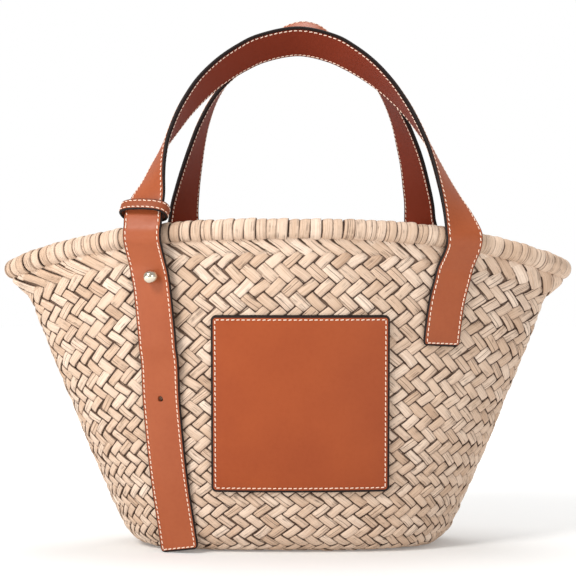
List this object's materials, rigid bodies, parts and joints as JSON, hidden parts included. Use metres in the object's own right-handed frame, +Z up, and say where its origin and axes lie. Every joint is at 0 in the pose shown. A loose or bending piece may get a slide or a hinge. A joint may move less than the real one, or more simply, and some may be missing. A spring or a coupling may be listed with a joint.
{
  "type": "straw basket bag",
  "caption": "Open woven palm-leaf basket bag with a wound rim, a pair of flat leather handles, a square leather patch, and a long handle end through a keeper to a stud.",
  "frame": {"origin": "on the floor plane, under the middle of the bag's overall width and depth", "axes": "+X across the bag to the right as seen from the front, +Y towards the back, +Z up; the patch and the long handle end are on the front, which faces -Y"},
  "size_m": [0.3404, 0.1474, 0.3153],
  "materials": {
    "straw": "woven dry palm leaf, matte",
    "rim_straw": "palm leaf strips wound round the rim, matte",
    "leather": "smooth tan leather, soft sheen",
    "stud_metal": "polished"
  },
  "bodies": {
    "root": {"basket_body": "straw", "wound_rim": "rim_straw", "front_handle": "leather", "back_handle": "leather", "anchor_tab": "leather", "keeper_loop": "leather", "front_patch": "leather", "handle_stud": "stud_metal"}
  },
  "joints": []
}
